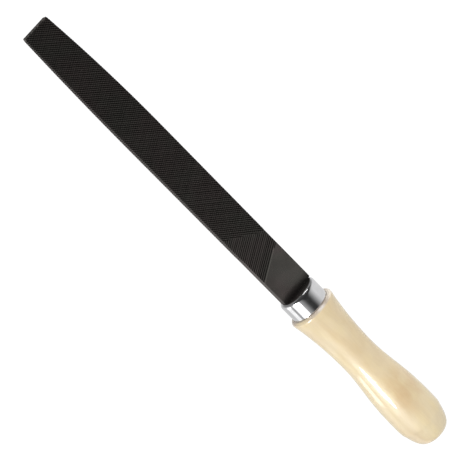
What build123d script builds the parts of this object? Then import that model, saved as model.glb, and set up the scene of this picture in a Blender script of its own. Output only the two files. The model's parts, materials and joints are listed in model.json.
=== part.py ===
"""Flat file with a 200 mm blade and a turned wooden handle. Millimetres, +Z up.

The file lies along X with its tip towards +X and its broad faces square to Z. The origin is on the handle's axis,
in the middle of the ferrule's cylindrical band. The blade is drawn at the height of its tooth crests.
"""

import os

from build123d import *

# Ferrule: a drawn cup, its closed front towards the blade
ferrule_diameter = 23.4
ferrule_band_length = 10.0  # the straight cylindrical stretch, without the rounded nose
ferrule_nose_radius = 2.0
ferrule_wall = 0.8
ferrule_rear_break = 0.3

# Blade
blade_length = 200.0  # tip to the shoulder that meets the ferrule
blade_width = 21.3
blade_thickness = 4.8
blade_offset = -0.7  # its middle stands this far to one side of the tang and the handle
taper_length = 82.5  # the last stretch before the tip, on long arcs in width and in thickness
tip_width = 16.7
tip_thickness = 3.7
tip_offset = 0.4  # the tip's middle, so that the -Y edge takes most of the taper
heel_corner_radius = 0.5

# Tang, behind the shoulder
tang_length = 60.0
tang_root_width = 9.6
tang_root_thickness = 4.4
tang_end_width = 4.0
tang_end_thickness = 2.8
tang_end_chamfer = 0.8
slot_clearance = 0.2  # round the tang, in the ferrule's front

# Handle, as diameters at its shoulder, waist and swell
handle_length = 117.3  # ferrule included
shoulder_diameter = 28.6
shoulder_corner_radius = 1.5
waist_diameter = 21.8
waist_from_shoulder = 39.0
flank_diameter = 26.4
flank_from_shoulder = 64.5
swell_diameter = 28.4
swell_from_shoulder = 84.5
butt_round_diameter = 27.0
butt_round_from_end = 11.6
butt_edge_diameter = 20.0
butt_edge_from_end = 2.35

# Pilot bore, drilled in steps that follow the tang's taper: diameter and depth from the shoulder
pilot_steps = [(8.0, 22.0), (6.0, 38.0), (4.4, 54.0)]

# Stations along X
band_half = ferrule_band_length / 2
ferrule_front = band_half + ferrule_nose_radius
ferrule_rear = -band_half
blade_tip = ferrule_front + blade_length
taper_start = blade_tip - taper_length
handle_butt = ferrule_front - handle_length
shoulder_face = ferrule_rear
neck_front = ferrule_front - ferrule_wall
neck_radius = ferrule_diameter / 2 - ferrule_wall
neck_chamfer = ferrule_nose_radius - ferrule_wall

os.makedirs("parts", exist_ok=True)


# ---- Blade with its tang: one forging -------------------------------------------------------------------------------
with BuildPart() as file_blade:
    # Plan: parallel to the taper, then one long arc on each edge
    with BuildSketch(Plane.XY):
        with BuildLine():
            near_corner = (blade_tip, tip_offset + tip_width / 2)
            far_corner = (blade_tip, tip_offset - tip_width / 2)
            near_y = blade_offset + blade_width / 2
            far_y = blade_offset - blade_width / 2
            near_edge = Line((ferrule_front, near_y), (taper_start, near_y))
            TangentArc(near_edge @ 1, near_corner, tangent=(1, 0))
            Line(near_corner, far_corner)
            far_edge = Line((ferrule_front, far_y), (taper_start, far_y))
            TangentArc(far_edge @ 1, far_corner, tangent=(1, 0))
            Line(near_edge @ 0, far_edge @ 0)
        make_face()
    extrude(amount=blade_thickness / 2, both=True)
    # Side view: the faces close in towards the tip over the same stretch
    with BuildSketch(Plane.XZ):
        with BuildLine():
            upper_face = Line((ferrule_front, blade_thickness / 2), (taper_start, blade_thickness / 2))
            upper_taper = TangentArc(upper_face @ 1, (blade_tip, tip_thickness / 2), tangent=(1, 0))
            Line(upper_face @ 0, (ferrule_front, 0))
            Line(upper_taper @ 1, (blade_tip, 0))
            mirror(about=Plane.XZ)
        make_face()
    extrude(amount=blade_width, both=True, mode=Mode.INTERSECT)
    upright_edges = file_blade.edges().filter_by(Axis.Z)
    fillet(upright_edges.group_by(Axis.X)[0], radius=heel_corner_radius)
    # Tang
    with BuildSketch(Plane.YZ.offset(ferrule_front)):
        Rectangle(tang_root_width, tang_root_thickness)
    with BuildSketch(Plane.YZ.offset(ferrule_front - tang_length)):
        Rectangle(tang_end_width, tang_end_thickness)
    loft()
    chamfer(file_blade.faces().sort_by(Axis.X)[0].edges(), length=tang_end_chamfer)
file_blade.part.label = "file_blade"

# ---- Ferrule ---------------------------------------------------------------------------------------------------------
with BuildPart() as ferrule:
    with BuildSketch(Plane.XY):
        with BuildLine():
            outer_radius = ferrule_diameter / 2
            Polyline(
                (ferrule_rear, neck_radius),
                (ferrule_rear, outer_radius),
                (ferrule_front, outer_radius),
                (ferrule_front, 0),
                (neck_front, 0),
                (neck_front, neck_radius),
                close=True,
            )
        cup = make_face()
        outer_corners = cup.vertices().group_by(Axis.Y)[-1].sort_by(Axis.X)
        fillet(outer_corners[-1], radius=ferrule_nose_radius)
        inner_corners = cup.vertices().group_by(Axis.Y)[1].sort_by(Axis.X)
        fillet(inner_corners[-1], radius=ferrule_nose_radius - ferrule_wall)
    revolve(axis=Axis.X)
    # Slot for the tang
    with BuildSketch(Plane.YZ.offset(ferrule_front)):
        Rectangle(tang_root_width + 2 * slot_clearance, tang_root_thickness + 2 * slot_clearance)
    extrude(amount=-2 * ferrule_wall, mode=Mode.SUBTRACT)
    rear_rim = ferrule.edges().filter_by(GeomType.CIRCLE).group_by(Axis.X)[0].sort_by(SortBy.RADIUS)[-1]
    fillet(rear_rim, radius=ferrule_rear_break)
ferrule.part.label = "ferrule"

# ---- Handle ----------------------------------------------------------------------------------------------------------
with BuildPart() as handle:
    with BuildSketch(Plane.XY):
        with BuildLine():
            waist = (shoulder_face - waist_from_shoulder, waist_diameter / 2)
            flank = (shoulder_face - flank_from_shoulder, flank_diameter / 2)
            swell = (shoulder_face - swell_from_shoulder, swell_diameter / 2)
            butt_round = (handle_butt + butt_round_from_end, butt_round_diameter / 2)
            butt_edge = (handle_butt + butt_edge_from_end, butt_edge_diameter / 2)
            shoulder = (shoulder_face, shoulder_diameter / 2)
            Spline((handle_butt, 0), butt_edge, butt_round, swell, tangents=[(0, 1), (1, 0)])
            Spline(swell, flank, waist, tangents=[(1, 0), (1, 0)])
            TangentArc(waist, shoulder, tangent=(1, 0))
            Polyline(
                shoulder,
                (shoulder_face, neck_radius),
                (neck_front - neck_chamfer, neck_radius),
                (neck_front, neck_radius - neck_chamfer),
                (neck_front, 0),
                (handle_butt, 0),
            )
        turned = make_face()
        fillet(turned.vertices().group_by(Axis.Y)[-1], radius=shoulder_corner_radius)
    revolve(axis=Axis.X)
    # Stepped pilot bore
    for step_diameter, step_depth in pilot_steps:
        with BuildSketch(Plane.YZ.offset(neck_front)):
            Circle(step_diameter / 2)
        extrude(amount=-(neck_front - shoulder_face + step_depth), mode=Mode.SUBTRACT)
    # Seat that the tang has pressed into the wood
    add(file_blade.part, mode=Mode.SUBTRACT)
handle.part.label = "handle"

for piece in (file_blade, ferrule, handle):
    export_step(piece.part, f"parts/{piece.part.label}.step")
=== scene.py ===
"""Flat file on a white studio table: toothed blade, plated ferrule and lacquered handle.

It is built round the CAD frame, in metres and in the frame's own axes: +X towards the tip, +Z square to
the blade's broad faces. The handle's axis is the X axis.
"""

import json
import math

import bpy
import numpy as np
from mathutils import Matrix, Vector


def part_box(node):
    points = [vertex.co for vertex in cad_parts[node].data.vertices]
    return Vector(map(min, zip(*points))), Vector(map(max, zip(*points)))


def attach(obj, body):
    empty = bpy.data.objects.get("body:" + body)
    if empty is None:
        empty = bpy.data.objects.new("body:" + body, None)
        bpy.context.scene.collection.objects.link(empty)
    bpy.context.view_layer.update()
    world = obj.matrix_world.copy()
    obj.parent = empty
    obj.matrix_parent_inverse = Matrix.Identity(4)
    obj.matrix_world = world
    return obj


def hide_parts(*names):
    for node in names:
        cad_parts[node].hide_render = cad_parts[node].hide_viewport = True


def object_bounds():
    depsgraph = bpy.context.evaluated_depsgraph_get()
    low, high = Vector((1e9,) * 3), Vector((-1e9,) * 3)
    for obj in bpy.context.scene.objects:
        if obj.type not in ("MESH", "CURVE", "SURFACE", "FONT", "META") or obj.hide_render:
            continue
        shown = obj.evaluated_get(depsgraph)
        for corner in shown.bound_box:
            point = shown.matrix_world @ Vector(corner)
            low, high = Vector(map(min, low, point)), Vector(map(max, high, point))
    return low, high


MM = 0.001
TOOTH_SEED = 7

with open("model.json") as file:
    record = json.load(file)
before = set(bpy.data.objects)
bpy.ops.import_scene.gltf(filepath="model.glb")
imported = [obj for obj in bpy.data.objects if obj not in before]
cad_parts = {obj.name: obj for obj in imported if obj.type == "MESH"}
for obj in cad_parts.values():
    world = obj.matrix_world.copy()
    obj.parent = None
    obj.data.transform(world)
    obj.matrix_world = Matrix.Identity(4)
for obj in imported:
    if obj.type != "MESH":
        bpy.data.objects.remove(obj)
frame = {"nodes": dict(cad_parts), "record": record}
cad_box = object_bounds()
record = frame["record"]

# ---- Sizes read from the frame -------------------------------------------------------------------
blade_low, blade_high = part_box("file_blade")
ferrule_low, ferrule_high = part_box("ferrule")
collar = next(mount for mount in record["mounts"] if mount["name"] == "ferrule_collar")

heel_x = ferrule_high.x  # the blade's shoulder stands on the ferrule's front
tip_x = blade_high.x
tang_end_x = blade_low.x
shoulder_x = ferrule_low.x  # the handle's shoulder stands behind the ferrule's rear
butt_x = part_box("handle")[0].x
blade_half_width = (blade_high.y - blade_low.y) / 2
blade_offset = (blade_high.y + blade_low.y) / 2  # it stands a little to one side of the handle's axis
blade_half_thickness = blade_high.z
ferrule_radius = collar["dims"]["r_mm"] * MM
band_half_length = collar["dims"]["length_mm"] * MM / 2

# ---- Sizes that the frame's boxes don't give -----------------------------------------------------
taper_length = 82.5 * MM
tip_half_width = 8.35 * MM
tip_half_thickness = 1.85 * MM
tip_offset = 0.4 * MM
heel_corner_radius = 0.5 * MM
tang_root = (4.8 * MM, 2.2 * MM)  # half width and half thickness
tang_end = (2.0 * MM, 1.4 * MM)
tang_end_chamfer = 0.8 * MM
tang_overlap = 2 * MM  # the tang's solid runs on into the blade by this much
slot_clearance = 0.2 * MM
ferrule_nose_radius = ferrule_high.x - band_half_length
ferrule_wall = 0.8 * MM
ferrule_rear_break = 0.3 * MM
neck_front = ferrule_high.x - ferrule_wall
neck_radius = ferrule_radius - ferrule_wall
neck_chamfer = ferrule_nose_radius - ferrule_wall
# Radius of each step of the pilot bore, and its depth from the shoulder
pilot_steps = [(4.0 * MM, 22 * MM), (3.0 * MM, 38 * MM), (2.2 * MM, 54 * MM)]

# ---- Teeth ---------------------------------------------------------------------------------------
# A set of cuts: the direction square to them in the XY plane, their pitch and depth, and where they end
# towards the heel, as distances from it at the -Y and the +Y edge
first_cut = {
    "normal": (0.895, 0.447),
    "pitch": 1.129 * MM,
    "depth": 0.28 * MM,
    "ends": (27.2 * MM, 17.4 * MM),
}
second_cut = {
    "normal": (0.752, -0.659),
    "pitch": 1.067 * MM,
    "depth": 0.30 * MM,
    "ends": (35.5 * MM, 50.0 * MM),
}
crossed_share = 0.42  # the second cut leaves this share of the first one's depth
crest_start = 0.78  # shares of the pitch: a long back rises from the root to the crest, which ends at
crest_end = 0.88  # a short flat, and a steep front drops to the next root
place_scatter = 0.05  # how unevenly the cuts are placed, in pitches
bite_scatter = 0.10  # how unevenly they bite, as a share of the depth
smooth_depth = 0.15 * MM  # how far the uncut heel and tip lie under the crests
tip_margin = 0.4 * MM  # uncut, at the tip
edge_upright_end = heel_x + 18.5 * MM  # the narrow edges are upright and smooth from the heel to here,
edge_teeth_end = heel_x + 37.0 * MM  # still smooth to here, and toothed and leaning beyond
edge_pitch = 1.1 * MM
edge_depth = 0.16 * MM
edge_slant = 0.35 * MM  # how far each edge tooth leans along X over half the blade's thickness
tip_corner_radius = 0.6 * MM  # drawn sharp in the CAD


# ---- Mesh helpers --------------------------------------------------------------------------------
def mesh_object(name, vertices, faces, smooth=False):
    """A linked object with that mesh."""
    mesh = bpy.data.meshes.new(name)
    mesh.from_pydata([tuple(v) for v in vertices], [], [tuple(f) for f in faces])
    mesh.polygons.foreach_set("use_smooth", [smooth] * len(mesh.polygons))
    mesh.update()
    made = bpy.data.objects.new(name, mesh)
    bpy.context.scene.collection.objects.link(made)
    return made


def boolean(target, tool, operation):
    """Combines two closed meshes into target and deletes the tool."""
    modifier = target.modifiers.new("combine", "BOOLEAN")
    modifier.operation = operation
    modifier.solver = "MANIFOLD"
    modifier.object = tool
    depsgraph = bpy.context.evaluated_depsgraph_get()
    combined = bpy.data.meshes.new_from_object(target.evaluated_get(depsgraph))
    target.modifiers.clear()
    target.data = combined
    bpy.data.objects.remove(tool)


def arc(centre, radius, start, stop, steps):
    """Points on an arc in a plane, from the start angle to the stop angle in degrees."""
    angles = np.radians(np.linspace(start, stop, steps + 1))
    return [(centre[0] + radius * math.cos(a), centre[1] + radius * math.sin(a)) for a in angles]


def lathe(name, profile, segments, wobble=None):
    """Turns a closed profile of (x, radius) points about the X axis.

    Points on the axis become one vertex. The wobble is a share of the radius, at an x and an angle.
    """
    on_axis = 0.0001 * MM
    vertices = []
    rings = []
    for x, radius in profile:
        if radius < on_axis:
            rings.append([len(vertices)] * segments)
            vertices.append((x, 0.0, 0.0))
            continue
        ring = []
        for k in range(segments):
            angle = 2 * math.pi * k / segments
            r = radius * (1 + wobble(x, angle)) if wobble else radius
            ring.append(len(vertices))
            vertices.append((x, r * math.cos(angle), r * math.sin(angle)))
        rings.append(ring)
    faces = []
    for ring, next_ring in zip(rings, rings[1:] + rings[:1]):
        for k in range(segments):
            after = (k + 1) % segments
            corners = [ring[k], ring[after], next_ring[after], next_ring[k]]
            face = list(dict.fromkeys(corners))
            if len(face) > 2:
                faces.append(face)
    return mesh_object(name, vertices, faces, smooth=True)


def crease(piece, degrees):
    """Keeps smooth shading from running over edges sharper than this."""
    piece.data.set_sharp_from_angle(angle=math.radians(degrees))


def tapered_box(name, stations):
    """A closed box through (x, half width, half thickness) stations."""
    vertices = []
    for x, half_width, half_thickness in stations:
        for y, z in ((-1, -1), (1, -1), (1, 1), (-1, 1)):
            vertices.append((x, y * half_width, z * half_thickness))
    last = 4 * (len(stations) - 1)
    faces = [[0, 3, 2, 1], [last, last + 1, last + 2, last + 3]]
    for ring in range(0, last, 4):
        for k in range(4):
            after = (k + 1) % 4
            faces.append([ring + k, ring + after, ring + 4 + after, ring + 4 + k])
    return mesh_object(name, vertices, faces)


# ---- Blade: its form -----------------------------------------------------------------------------
def tangent_drop(x, drop):
    """How far an edge or face has closed in at x, on an arc that leaves its straight stretch smoothly."""
    run = np.clip(x - (tip_x - taper_length), 0, taper_length)
    radius = (taper_length**2 + drop**2) / (2 * drop)
    return radius - np.sqrt(radius**2 - run**2)


def face_height(x):
    """Half the blade's thickness at x."""
    return blade_half_thickness - tangent_drop(x, blade_half_thickness - tip_half_thickness)


def edge_place(x, side):
    """Y of the blade's +Y or -Y edge at x."""
    straight = blade_offset + side * blade_half_width
    at_tip = tip_offset + side * tip_half_width
    return straight - side * tangent_drop(x, side * (straight - at_tip))


# ---- Blade: the teeth on its broad faces ---------------------------------------------------------
def tooth_profile(phase, depth):
    """Distance below the crest line at a phase counted in pitches from a root."""
    rounding = 1e-6
    share = phase - np.floor(phase + rounding)
    back = 1 - share / crest_start
    front = (share - crest_end) / (1 - crest_end)
    return depth * np.clip(np.maximum(back, front), 0, 1)


def is_cut(cuts, x, y):
    """True where a set of cuts reaches, with y counted from the blade's middle."""
    across = (y + blade_half_width) / (2 * blade_half_width)
    heel_end = heel_x + cuts["ends"][0] + (cuts["ends"][1] - cuts["ends"][0]) * across
    return (x > heel_end) & (x < tip_x - tip_margin)


def cut_lines(reach, rng):
    """Root, crest start and crest end of each cut: their phases, how far they stray, how deep they go."""
    cuts = np.arange(math.floor(reach.min()) - 1, math.ceil(reach.max()) + 2)
    shares = np.array([0, crest_start, crest_end])
    place_stray = place_scatter * rng.standard_normal(len(cuts) + 1)
    bite = 1 + bite_scatter * rng.standard_normal(len(cuts))
    stray = place_stray[:-1, None] * (1 - shares) + place_stray[1:, None] * shares
    return (cuts[:, None] + shares).ravel(), stray.ravel(), np.repeat(bite, len(shares))


def tooth_lattice():
    """Corners of every tooth on a face, and the quads between them.

    A corner is (x, y from the blade's middle, depth below the crests). Corners lie where the lines of the
    two sets of cuts cross, so that every ridge and groove is a line of edges.
    """
    rng = np.random.default_rng(TOOTH_SEED)
    sets = (first_cut, second_cut)
    to_phase = np.array([np.array(cuts["normal"]) / cuts["pitch"] for cuts in sets])
    margin = 1.5 * MM
    low = np.array([heel_x - margin, -blade_half_width - margin])
    high = np.array([tip_x + margin, blade_half_width + margin])
    reach = np.array([(x, y) for x in (low[0], high[0]) for y in (low[1], high[1])]) @ to_phase.T
    lines = [cut_lines(reach[:, k], rng) for k in range(2)]
    crossings = [np.meshgrid(first, second, indexing="ij") for first, second in zip(*lines)]
    phases, strays, bites = crossings
    placed = np.stack([phase + stray for phase, stray in zip(phases, strays)], -1)
    x, y = np.moveaxis(placed @ np.linalg.inv(to_phase).T, -1, 0)
    first_share = np.where(is_cut(second_cut, x, y), crossed_share, 1)
    depth = 0
    for cuts, phase, bite, share in zip(sets, phases, bites, (first_share, 1)):
        groove = tooth_profile(phase, cuts["depth"]) * bite * share
        depth = depth + np.where(is_cut(cuts, x, y), groove, smooth_depth / 2)
    numbers = np.arange(x.size).reshape(x.shape)
    corners = [numbers[:-1, :-1], numbers[1:, :-1], numbers[1:, 1:], numbers[:-1, 1:]]
    quads = np.stack(corners, -1).reshape(-1, 4)
    points = np.stack([x.ravel(), y.ravel(), depth.ravel()], -1)
    middle = points[quads, :2].mean(1)
    quads = quads[np.all((middle > low) & (middle < high), axis=1)]
    used, quads = np.unique(quads, return_inverse=True)
    return points[used], quads.reshape(-1, 4)


def toothed_slab(name, side):
    """A closed block under the teeth of the upper face (side 1) or over the lower face's (side -1)."""
    points, quads = tooth_lattice()
    x, y, depth = points.T
    place = blade_offset + side * y
    top = np.stack([x, place, side * (face_height(x) - depth)], -1)
    base = np.stack([x, place, np.full_like(x, -side * 2 * blade_half_thickness)], -1)
    edges = np.concatenate([quads[:, [k, (k + 1) % 4]] for k in range(4)])
    ordered = np.sort(edges, axis=1)
    _, first, count = np.unique(ordered, axis=0, return_index=True, return_counts=True)
    rim = edges[first[count == 1]]
    shift = len(points)
    walls = np.stack([rim[:, 1], rim[:, 0], rim[:, 0] + shift, rim[:, 1] + shift], -1)
    faces = np.concatenate([quads, quads[:, ::-1] + shift, walls])
    return mesh_object(name, np.concatenate([top, base]), faces)


# ---- Blade: its outline, with the teeth on the narrow edges --------------------------------------
def edge_profile(side):
    """Points along one edge from heel to tip: smooth heel, a row of teeth, smooth tip."""
    points = []
    for x in (heel_x + heel_corner_radius, edge_upright_end):
        points.append((x, edge_place(x, side) - side * smooth_depth))
    x = edge_teeth_end
    while x < tip_x - tip_margin - edge_pitch:
        for step, depth in ((0, edge_depth), (crest_start, 0), (crest_end, 0)):
            here = x + step * edge_pitch
            points.append((here, edge_place(here, side) - side * depth))
        x += edge_pitch
    points.append((x, edge_place(x, side) - side * smooth_depth))
    return points


def corner(x, y, radius, start, steps=4):
    """A rounded corner whose square corner is at (x, y), turning by 90 degrees from the start angle."""
    middle = math.radians(start + 45)
    centre_x = x - math.copysign(radius, math.cos(middle))
    centre_y = y - math.copysign(radius, math.sin(middle))
    return arc((centre_x, centre_y), radius, start, start + 90, steps)


def blade_outline():
    """The blade's outline from above, anticlockwise from the heel's -Y corner."""
    outline = corner(heel_x, edge_place(heel_x, -1) + smooth_depth, heel_corner_radius, 180)
    outline += edge_profile(-1)
    outline += corner(tip_x, edge_place(tip_x, -1) + smooth_depth, tip_corner_radius, 270)
    outline += corner(tip_x, edge_place(tip_x, 1) - smooth_depth, tip_corner_radius, 0)
    outline += edge_profile(1)[::-1]
    outline += corner(heel_x, edge_place(heel_x, 1) - smooth_depth, heel_corner_radius, 90)
    return outline


def outline_prism(name):
    """The outline as an upright block, leaning the edge teeth."""
    outline = blade_outline()
    reach = 2 * blade_half_thickness
    vertices = []
    for level in (-1, 1):
        for x, y in outline:
            toothed = edge_upright_end < x < tip_x - tip_margin
            lean = level * edge_slant * reach / blade_half_thickness if toothed else 0
            vertices.append((x + lean, y, level * reach))
    count = len(outline)
    faces = [list(range(count))[::-1], [k + count for k in range(count)]]
    for k in range(count):
        after = (k + 1) % count
        faces.append([k, after, after + count, k + count])
    return mesh_object(name, vertices, faces)


def tang_solid(name):
    """The tang, from its chamfered end into the blade."""

    def half_sizes(x):
        share = (x - tang_end_x) / (heel_x - tang_end_x)
        return [end + (root - end) * share for end, root in zip(tang_end, tang_root)]

    chamfer_x = tang_end_x + tang_end_chamfer
    end_width, end_thickness = half_sizes(tang_end_x)
    stations = [
        (tang_end_x, end_width - tang_end_chamfer, end_thickness - tang_end_chamfer),
        (chamfer_x, *half_sizes(chamfer_x)),
        (heel_x, *half_sizes(heel_x)),
        (heel_x + tang_overlap, *half_sizes(heel_x)),
    ]
    return tapered_box(name, stations)


# ---- Blade: its marks and assembly ---------------------------------------------------------------
def read_mesh(items, field, width=1, kind=float):
    """One field of every vertex, corner or polygon, as an array with one row each."""
    values = np.empty(len(items) * width, dtype=kind)
    items.foreach_get(field, values)
    return values.reshape(-1, width) if width > 1 else values


def mark_cuts(blade):
    """Stores two values on each face corner, for the steel's look.

    "cut" says how far the surface looks cut rather than smooth, and "groove" how deep it lies under the
    crests, as a share of the second cut's depth. The narrow edges count as grooves.
    """
    upright = 0.2  # a narrow edge's normal leans less than this along Z
    end_on = 0.7  # the tip's end face has a normal with more than this along X
    mesh = blade.data
    owner = np.repeat(np.arange(len(mesh.polygons)), read_mesh(mesh.polygons, "loop_total", kind=int))
    normal = read_mesh(mesh.polygons, "normal", 3)[owner]
    x, y, z = read_mesh(mesh.vertices, "co", 3)[read_mesh(mesh.loops, "vertex_index", kind=int)].T
    on_edge = np.abs(normal[:, 2]) < upright
    groove = np.where(on_edge, 1, (face_height(x) - np.abs(z)) / second_cut["depth"])
    # The broad faces: a little lighter where there is only the first cut
    single_look = 0.85
    across = np.sign(z) * (y - blade_offset)
    face_look = is_cut(first_cut, x, across) * np.where(is_cut(second_cut, x, across), 1, single_look)
    # The narrow edges: bright crests and dark roots, darker towards the tip
    heel_darkness = 0.25
    root_contrast = 1.4
    side = np.where(y > blade_offset, 1, -1)
    root = np.abs(edge_place(x, side) - y) / edge_depth
    toothed = (x > edge_teeth_end - edge_pitch) & (x < tip_x - tip_margin - edge_pitch)
    darkness = heel_darkness + (1 - heel_darkness) * (x - heel_x) / (tip_x - heel_x)
    edge_look = np.where(toothed, np.clip(root_contrast * root, 0, 1) * darkness, 0)
    # The tip's end face
    end_look = 0.7
    on_end = (normal[:, 0] > end_on) & (x > tip_x - tip_margin)
    cut = np.where(on_end, end_look, np.where(on_edge, edge_look, face_look))
    for name, values in {"cut": cut, "groove": groove}.items():
        attribute = mesh.attributes.new(name, "FLOAT", "CORNER")
        attribute.data.foreach_set("value", values.astype(np.float32))


def build_blade():
    """The blade with its tang and all its teeth."""
    blade = toothed_slab("toothed_blade", 1)
    boolean(blade, toothed_slab("lower_teeth", -1), "INTERSECT")
    boolean(blade, outline_prism("blade_outline"), "INTERSECT")
    boolean(blade, tang_solid("tang"), "UNION")
    mark_cuts(blade)
    return blade


# ---- Ferrule -------------------------------------------------------------------------------------
def build_ferrule():
    """A drawn cup with a slot for the tang in its closed front."""
    front = ferrule_high.x
    rear = ferrule_low.x
    nose_centre = (front - ferrule_nose_radius, ferrule_radius - ferrule_nose_radius)
    break_centre = (rear + ferrule_rear_break, ferrule_radius - ferrule_rear_break)
    band = np.linspace(rear + 2 * ferrule_rear_break, nose_centre[0], 8)[:-1]
    profile = [(rear, neck_radius)]
    profile += arc(break_centre, ferrule_rear_break, 180, 90, 4)
    profile += [(x, ferrule_radius) for x in band]
    profile += arc(nose_centre, ferrule_nose_radius, 90, 0, 16)
    profile += [(front, 0.0), (neck_front, 0.0)]
    profile += arc(nose_centre, ferrule_nose_radius - ferrule_wall, 0, 90, 8)
    ferrule = lathe("plated_ferrule", profile, segments=192)
    slot_half = [half + slot_clearance for half in tang_root]
    slot_stations = [(front - 2 * ferrule_wall, *slot_half), (front + ferrule_wall, *slot_half)]
    boolean(ferrule, tapered_box("tang_slot", slot_stations), "DIFFERENCE")
    crease(ferrule, degrees=35)
    return ferrule


# ---- Handle --------------------------------------------------------------------------------------
def smooth_curve(places, knots, values):
    """Values at some places on a cubic curve through the knots, without corners."""
    gaps = np.diff(knots)
    slopes = np.diff(values) / gaps
    inner = (gaps[1:] * slopes[:-1] + gaps[:-1] * slopes[1:]) / (gaps[1:] + gaps[:-1])
    slope = np.concatenate([slopes[:1], inner, slopes[-1:]])
    k = np.clip(np.searchsorted(knots, places, side="right") - 1, 0, len(gaps) - 1)
    t = (places - knots[k]) / gaps[k]
    start = (1 + 2 * t) * (1 - t) ** 2 * values[k] + t * (1 - t) ** 2 * gaps[k] * slope[k]
    end = t**2 * (3 - 2 * t) * values[k + 1] + t**2 * (t - 1) * gaps[k] * slope[k + 1]
    return start + end


def turned_outline(node, spacing):
    """(x, radius) points along the handle's outside from butt to shoulder, read from the CAD mesh."""
    points = np.array([v.co for v in frame["nodes"][node].data.vertices])
    x = points[:, 0]
    radius = np.hypot(points[:, 1], points[:, 2])
    rounding = 0.001 * MM
    ring_decimals = 7
    widest_bore = 7 * MM
    solid_wood = shoulder_x - pilot_steps[-1][1] - 1 * MM  # behind the bore
    outer = (x < shoulder_x + rounding) & (radius > 0) & ((radius > widest_bore) | (x < solid_wood))
    order = np.argsort(x[outer])
    stations, first = np.unique(np.round(x[outer][order], ring_decimals), return_index=True)
    widest = np.maximum.reduceat(radius[outer][order], first)
    steps = np.hypot(np.diff(stations), np.diff(widest))
    length = np.concatenate([[0], np.cumsum(steps)])
    even = np.linspace(0, length[-1], int(length[-1] / spacing))
    return list(zip(smooth_curve(even, length, stations), smooth_curve(even, length, widest)))


def hand_turned(x, angle):
    """A turned and hand-sanded surface is never quite round: a slow, shallow inward waviness."""
    depth = 0.0012  # share of the radius
    along = math.sin(x / (9 * MM)) + math.sin(x / (5.3 * MM) + 2 * angle)
    around = math.sin(2 * angle + 1.3) + 0.6 * math.sin(3 * angle + x / (14 * MM))
    highest_sum = 3.6
    return -depth * (1 + (along + around) / highest_sum)


def build_handle():
    """The turned handle with the ferrule's neck, the stepped pilot bore and the tang's seat."""
    outer_spacing = 0.45 * MM
    clear_of_axis = 0.3 * MM
    beside_neck = 0.5 * MM  # one more ring on the shoulder's flat face
    profile = [(butt_x, 0.0)]
    profile += [point for point in turned_outline("handle", outer_spacing) if point[1] > clear_of_axis]
    profile += [(shoulder_x, neck_radius + beside_neck), (shoulder_x, neck_radius)]
    profile += [(neck_front - neck_chamfer, neck_radius), (neck_front, neck_radius - neck_chamfer)]
    start = neck_front
    for radius, depth in pilot_steps:
        profile += [(start, radius), (shoulder_x - depth, radius)]
        start = shoulder_x - depth
    profile += [(start, 0.0)]
    handle = lathe("turned_handle", profile, segments=160, wobble=hand_turned)
    boolean(handle, tang_solid("tang_seat"), "DIFFERENCE")
    crease(handle, degrees=30)
    return handle


# ---- Shader helpers: "material" may also be the world --------------------------------------------
def add_node(material, kind, inputs=None, **settings):
    """A shader node with its properties set. Sockets given as inputs are linked, other values are set."""
    tree = material.node_tree
    made = tree.nodes.new(kind)
    for name, value in settings.items():
        setattr(made, name, value)
    for key, value in (inputs or {}).items():
        if isinstance(value, bpy.types.NodeSocket):
            tree.links.new(value, made.inputs[key])
        else:
            made.inputs[key].default_value = value
    return made


def new_material(name):
    """A material and its Principled shader."""
    material = bpy.data.materials.new(name)
    material.use_nodes = True
    return material, material.node_tree.nodes["Principled BSDF"]


def link(material, socket, shader, name):
    """Feeds one of the shader's inputs."""
    material.node_tree.links.new(socket, shader.inputs[name])


def object_place(material):
    """Object coordinates, which are the frame's own."""
    return add_node(material, "ShaderNodeTexCoord").outputs["Object"]


def along_file(material):
    """The frame's X."""
    return add_node(material, "ShaderNodeSeparateXYZ", {0: object_place(material)}).outputs[0]


def stored(material, name):
    """A value stored on the mesh."""
    return add_node(material, "ShaderNodeAttribute", attribute_name=name).outputs["Fac"]


def noise(material, scale, detail=4.0, roughness=0.5, stretch=(1, 1, 1), distortion=0.0):
    """Noise in object coordinates, at a scale per metre, stretched along the axes."""
    mapping = {"Vector": object_place(material), "Scale": stretch}
    mapped = add_node(material, "ShaderNodeMapping", mapping).outputs["Vector"]
    inputs = {"Vector": mapped, "Scale": scale, "Detail": detail}
    inputs.update({"Roughness": roughness, "Distortion": distortion})
    return add_node(material, "ShaderNodeTexNoise", inputs).outputs["Fac"]


def ramp(material, value, stops):
    """A colour ramp through (position, colour) stops; a number stands for a grey."""
    made = add_node(material, "ShaderNodeValToRGB", {"Fac": value})
    elements = made.color_ramp.elements
    while len(elements) < len(stops):
        elements.new(0.5)
    for element, (position, colour) in zip(elements, stops):
        element.position = position
        shade = colour if isinstance(colour, tuple) else (colour,) * 3
        element.color = (*shade, 1)
    return made.outputs["Color"]


def mix(material, factor, a, b, blend_type="MIX"):
    """Mixes two colours."""
    made = add_node(material, "ShaderNodeMix", data_type="RGBA", blend_type=blend_type)
    for socket, value in ((made.inputs[0], factor), (made.inputs[6], a), (made.inputs[7], b)):
        if isinstance(value, bpy.types.NodeSocket):
            material.node_tree.links.new(value, socket)
        elif socket.type == "RGBA":
            socket.default_value = (*value, 1)
        else:
            socket.default_value = value
    return made.outputs[2]


def shaded(material, colour, shade):
    """A colour multiplied by another one."""
    return mix(material, 1.0, colour, shade, "MULTIPLY")


def math_node(material, operation, a, b=0.0, c=0.0):
    """The result of an operation on one to three numbers."""
    return add_node(material, "ShaderNodeMath", {0: a, 1: b, 2: c}, operation=operation).outputs[0]


def vector_node(material, operation, inputs, output="Value"):
    """The result of an operation on vectors."""
    return add_node(material, "ShaderNodeVectorMath", inputs, operation=operation).outputs[output]


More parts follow.
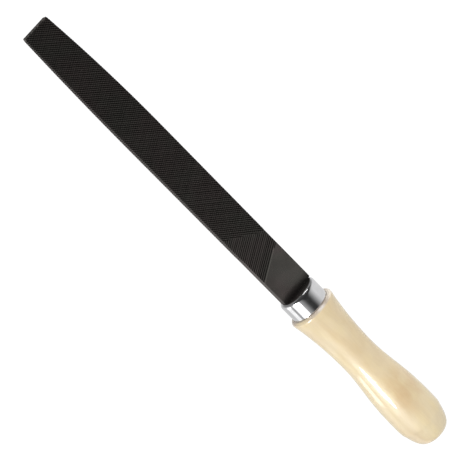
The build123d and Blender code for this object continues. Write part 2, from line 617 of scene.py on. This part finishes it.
def smooth_step(material, value, start, stop):
    """0 below the start, 1 above the stop and a smooth rise between."""
    limits = {"Value": value, "From Min": start, "From Max": stop}
    return add_node(material, "ShaderNodeMapRange", limits, interpolation_type="SMOOTHSTEP").outputs[0]


def smooth_band(material, value, rise, fall):
    """1 inside a band and 0 outside it; its rise and its fall are (start, stop)."""
    before_fall = math_node(material, "SUBTRACT", 1.0, smooth_step(material, value, *fall))
    return math_node(material, "MULTIPLY", smooth_step(material, value, *rise), before_fall)


def near(material, centre, inner, outer):
    """1 within the inner distance of a point of the frame, falling to 0 at the outer distance."""
    distance = vector_node(material, "DISTANCE", {0: object_place(material), 1: centre})
    limits = {"Value": distance, "From Min": inner, "From Max": outer, "To Min": 1.0, "To Max": 0.0}
    return add_node(material, "ShaderNodeMapRange", limits, interpolation_type="SMOOTHSTEP").outputs[0]


def add_bump(material, shader, height, strength, distance):
    """Bends the shader's normal by a height."""
    inputs = {"Height": height, "Strength": strength, "Distance": distance}
    bump = add_node(material, "ShaderNodeBump", inputs)
    link(material, bump.outputs["Normal"], shader, "Normal")


# ---- Materials -----------------------------------------------------------------------------------
def steel_material():
    """Hardened steel, blackened and lightly oiled.

    It is dull and almost black where it is cut and greyer where it is smooth, with painted shade on the
    smooth steel at the ferrule.
    """
    material, shader = new_material("blackened_steel")
    cut = stored(material, "cut")
    groove = stored(material, "groove")
    along = along_file(material)
    cloud = noise(material, 90, detail=5)
    tint = noise(material, 60, detail=2)
    fine = noise(material, 2500, detail=3)
    # Smooth steel, darker on the narrow edges
    smooth = ramp(material, cloud, [(0.35, (0.225, 0.206, 0.201)), (0.65, (0.262, 0.242, 0.236))])
    smooth = shaded(material, smooth, ramp(material, groove, [(0.6, 1.0), (1.0, 0.52)]))
    # Painted shade: the smooth steel darkens over its last few millimetres towards the ferrule
    painted_ferrule_shade = smooth_step(material, along, heel_x, heel_x + 5 * MM)
    smooth = shaded(material, smooth, ramp(material, painted_ferrule_shade, [(0.0, 0.3), (1.0, 1.0)]))
    # Cut steel, from crest to root, a little darker towards the tip
    toothed = ramp(material, groove, [(0.0, (0.096, 0.089, 0.086)), (0.8, (0.022, 0.020, 0.0195))])
    toward_tip = math_node(material, "MULTIPLY", along, 1 / tip_x)
    toothed = shaded(material, toothed, ramp(material, toward_tip, [(0.10, 1.0), (1.0, 0.76)]))
    oil = ramp(material, tint, [(0.38, (1.0, 0.93, 0.91)), (0.62, (0.93, 0.96, 0.90))])
    colour = shaded(material, mix(material, cut, smooth, toothed), oil)
    link(material, colour, shader, "Base Color")
    ground = ramp(material, cloud, [(0.3, 0.17), (0.7, 0.22)])
    rough = mix(material, cut, ground, (0.45, 0.45, 0.45))
    link(material, rough, shader, "Roughness")
    shader.inputs["Metallic"].default_value = 0.9
    # Cut steel stays darker at a glancing angle
    glancing = mix(material, cut, (0.72, 0.70, 0.69), (0.15, 0.14, 0.14))
    link(material, glancing, shader, "Specular Tint")
    add_bump(material, shader, fine, strength=0.06, distance=0.02 * MM)
    return material


def plating_material():
    """Bright plating over drawn steel."""
    material, shader = new_material("polished_plating")
    cloud = noise(material, 300, detail=4)
    drawn = noise(material, 900, detail=3, stretch=(0.15, 1, 1))
    base = ramp(material, cloud, [(0.3, (0.76, 0.76, 0.77)), (0.7, (0.82, 0.82, 0.83))])
    link(material, base, shader, "Base Color")
    rough = ramp(material, cloud, [(0.35, 0.06), (0.7, 0.12)])
    link(material, rough, shader, "Roughness")
    shader.inputs["Metallic"].default_value = 1.0
    add_bump(material, shader, drawn, strength=0.03, distance=0.02 * MM)
    return material


def paint_rim(material, colour):
    """Dulls the rounded rim at the handle's front, paints a highlight at its top and paints shade in a
    dark line at the ferrule.
    """
    along = along_file(material)
    on_rim = smooth_step(material, along, shoulder_x - 1.8 * MM, shoulder_x - 0.6 * MM)
    from_axis = vector_node(material, "MULTIPLY", {0: object_place(material), 1: (0, 1, 1)}, "Vector")
    radius = vector_node(material, "LENGTH", {0: from_axis})
    # Painted shade: a dark line on the wood right beside the ferrule, where the two parts meet
    clear = smooth_step(material, radius, ferrule_radius - 0.1 * MM, ferrule_radius + 0.4 * MM)
    rim_x = shoulder_x - 1 * MM
    yellow_side = near(material, (rim_x, 12 * MM, 6 * MM), 2 * MM, 9 * MM)
    cream_side = near(material, (rim_x, -11 * MM, 8 * MM), 2 * MM, 9 * MM)
    # Painted highlight: a pale spot at the top of the rounded rim
    painted_highlight_spot = near(material, (rim_x, 0.5 * MM, 13.8 * MM), 0.5 * MM, 4 * MM)
    rim = mix(material, yellow_side, (0.45, 0.375, 0.30), (0.52, 0.43, 0.28))
    rim = mix(material, cream_side, rim, (0.75, 0.67, 0.56))
    rim = mix(material, math_node(material, "MULTIPLY", painted_highlight_spot, 0.5), rim, (0.80, 0.77, 0.76))
    # The dark colour here is the painted shade beside the ferrule; the rim's own colour lies outside it
    return mix(material, on_rim, colour, mix(material, clear, (0.30, 0.25, 0.22), rim))


def wood_material():
    """Pale hardwood under gloss lacquer, its grain along the handle, one browner patch on the swell."""
    material, shader = new_material("lacquered_wood")
    blotches = noise(material, 55, detail=3, stretch=(0.5, 1, 1), distortion=0.6)
    yellow = noise(material, 130, detail=3, stretch=(0.6, 1, 1))
    grain = noise(material, 900, detail=6, roughness=0.6, stretch=(0.035, 1, 1))
    fleck = noise(material, 2600, detail=2, stretch=(0.12, 1, 1))
    ragged = noise(material, 160, detail=4, stretch=(0.6, 1, 1))
    ground = ramp(material, blotches, [(0.36, (0.635, 0.503, 0.312)), (0.64, (0.712, 0.596, 0.386))])
    mottle = ramp(material, yellow, [(0.40, (1.0, 1.0, 1.0)), (0.68, (1.0, 0.985, 0.90))])
    colour = shaded(material, ground, mottle)
    patch = near(material, (-73 * MM, -1 * MM, 14 * MM), 2 * MM, 20 * MM)
    patch = math_node(material, "MULTIPLY", patch, ramp(material, ragged, [(0.34, 0.1), (0.60, 1.0)]))
    colour = mix(material, patch, colour, (0.60, 0.435, 0.245))
    colour = paint_rim(material, colour)
    colour = shaded(material, colour, ramp(material, grain, [(0.35, 0.965), (0.62, 1.0)]))
    colour = shaded(material, colour, ramp(material, fleck, [(0.30, 0.97), (0.42, 1.0)]))
    link(material, colour, shader, "Base Color")
    link(material, ramp(material, grain, [(0.3, 0.38), (0.7, 0.5)]), shader, "Roughness")
    shader.inputs["Coat Weight"].default_value = 1.0
    shader.inputs["Coat Roughness"].default_value = 0.015
    shader.inputs["Coat IOR"].default_value = 1.5
    add_bump(material, shader, grain, strength=0.12, distance=0.05 * MM)
    return material


def table_material():
    """White table that glows, so that it shows no shadow."""
    material, shader = new_material("white_table")
    shader.inputs["Base Color"].default_value = (0.05, 0.05, 0.05, 1)
    shader.inputs["Roughness"].default_value = 1.0
    shader.inputs["Emission Color"].default_value = (1, 1, 1, 1)
    shader.inputs["Emission Strength"].default_value = 1.0
    return material


# ---- Stage ---------------------------------------------------------------------------------------
def build_table():
    """A table under the file, which the camera sees and mirror reflections don't."""
    half = 3.0
    z = cad_box[0][2]
    corners = [(-half, -half, z), (half, -half, z), (half, half, z), (-half, half, z)]
    table = mesh_object("table", corners, [[0, 1, 2, 3]])
    table.data.materials.append(table_material())
    table.visible_glossy = False


def softbox(name, direction, distance, size, radiance, shape="RECTANGLE"):
    """A soft light that faces the file; the first of its two sizes lies square to the vertical.

    The radiance is a rectangle's. An ellipse of that size sends out the same power from a smaller area.
    """
    light = bpy.data.lights.new(name, "AREA")
    light.shape = shape
    light.size = size[0]
    light.size_y = size[1]
    light.energy = radiance * math.pi * size[0] * size[1]
    lamp = bpy.data.objects.new(name, light)
    toward = Vector(direction).normalized()
    lamp.location = distance * toward
    lamp.rotation_euler = toward.to_track_quat("Z", "Y").to_euler()
    bpy.context.scene.collection.objects.link(lamp)
    return lamp


def place_lights():
    """Broad lights that aren't mirrored in the file, and highlights that are only mirrored in it."""
    key = softbox("key_softbox", (0, 0.915, 0.405), 1.0, (1.3, 0.72), radiance=2.6)
    mirror = softbox("key_mirror", (-0.255, 0.88, 0.40), 1.0, (0.32, 0.72), radiance=1.5)
    core = softbox("key_core", (-0.12, 0.86, 0.39), 0.95, (0.50, 0.34), radiance=13.0, shape="ELLIPSE")
    tip = softbox("tip_softbox", (0.88, -0.16, 0.46), 1.2, (0.55, 0.20), radiance=32.0)
    glint = softbox("tip_glint", (0.92, -0.31, 0.29), 1.2, (0.66, 0.18), radiance=3.0, shape="ELLIPSE")
    overhead = softbox("overhead_fill", (-0.1, -0.35, 1), 1.3, (1.6, 1.6), radiance=1.28)
    for broad in (key, tip, overhead):
        broad.visible_glossy = False
    for highlight in (mirror, core, glint):
        highlight.visible_diffuse = False


def facing(world, direction, axis):
    """How far a direction of the world points along an axis, from -1 to 1."""
    return vector_node(world, "DOT_PRODUCT", {0: direction, 1: Vector(axis).normalized()})


def studio_world():
    """What the glossy surfaces mirror: a pale tent with a dark opening overhead, dark on the tip's side.

    It stands in for the table too, which isn't mirrored, and for the key light's image in the table.
    """
    world = bpy.data.worlds.new("studio")
    world.use_nodes = True
    background = world.node_tree.nodes["Background"]
    direction = add_node(world, "ShaderNodeTexCoord").outputs["Generated"]
    toward_tip = facing(world, direction, (1, 0, 0))
    toward_key = facing(world, direction, (0, 1, 0))
    height = facing(world, direction, (0, 0, 1))
    key_side = smooth_step(world, toward_key, 0, 0.2)
    overhead = facing(world, direction, (0.35, 0, 0.93))
    tent = ramp(world, overhead, [(0.30, 0.77), (0.50, 0.56), (0.66, 0.26), (0.75, 0.035)])
    # The table and the horizon on the key light's side, by height from 0 straight down to 1 straight up
    half_height = math_node(world, "MULTIPLY_ADD", height, 0.5, 0.5)
    bands = [(0.17, 0.88), (0.22, 1.48), (0.36, 1.48), (0.41, 0.56), (0.47, 0.52), (0.50, 1.0)]
    below = mix(world, key_side, (1, 1, 1), ramp(world, half_height, bands))
    horizon = ramp(world, half_height, [(0.51, 0.24), (0.60, 0.06)])
    tip_side = ramp(world, toward_tip, [(0.15, 0.0), (0.50, 1.0)])
    shade = mix(world, tip_side, shaded(world, tent, below), horizon)
    # The key light's image in the table
    image_radiance = 4.5
    image = math_node(world, "MULTIPLY", key_side, image_radiance)
    length_band = smooth_band(world, toward_tip, rise=(-0.31, -0.26), fall=(-0.19, -0.15))
    height_band = smooth_band(world, height, rise=(-0.58, -0.48), fall=(-0.24, -0.16))
    for band in (length_band, height_band):
        image = math_node(world, "MULTIPLY", image, band)
    shade = mix(world, 1.0, shade, image, "ADD")
    world.node_tree.links.new(shade, background.inputs["Color"])
    bpy.context.scene.world = world


def place_camera():
    """Looks down on the upper face, from towards the tip and the +Y edge, the file rising to the left."""
    toward_camera = Vector((0.2778, 0.2994, 0.9128)).normalized()
    sight_centre = Vector((67 * MM, 0, 0))
    distance = 1.0334
    file_angle = math.radians(45.36)  # between the file and the horizontal, in the picture
    aim_right = 3.92 * MM
    aim_down = 6.53 * MM
    focal_length = 154.3  # in millimetres, as Blender has it
    along = (Vector((1, 0, 0)) - toward_camera.x * toward_camera).normalized()
    across = toward_camera.cross(along)
    right = -math.cos(file_angle) * along - math.sin(file_angle) * across
    up = math.sin(file_angle) * along - math.cos(file_angle) * across
    location = sight_centre + distance * toward_camera
    aim = sight_centre + aim_right * right - aim_down * up
    backward = (location - aim).normalized()
    right = up.cross(backward).normalized()
    up = backward.cross(right)
    turn = Matrix((right, up, backward)).transposed().to_4x4()
    data = bpy.data.cameras.new("camera")
    data.lens = focal_length
    camera = bpy.data.objects.new("camera", data)
    camera.matrix_world = Matrix.Translation(location) @ turn
    bpy.context.scene.collection.objects.link(camera)
    bpy.context.scene.camera = camera


# ---- Assembly ------------------------------------------------------------------------------------
bpy.context.scene.view_settings.view_transform = "Standard"

pieces = [
    (build_blade(), "file_blade", "file_steel", steel_material()),
    (build_ferrule(), "ferrule", "ferrule_plating", plating_material()),
    (build_handle(), "handle", "handle_wood", wood_material()),
]
for piece, node, slot, material in pieces:
    piece.data.materials.clear()
    piece.data.materials.append(material)
    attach(piece, "root")
    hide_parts(node)

build_table()
place_lights()
studio_world()
place_camera()
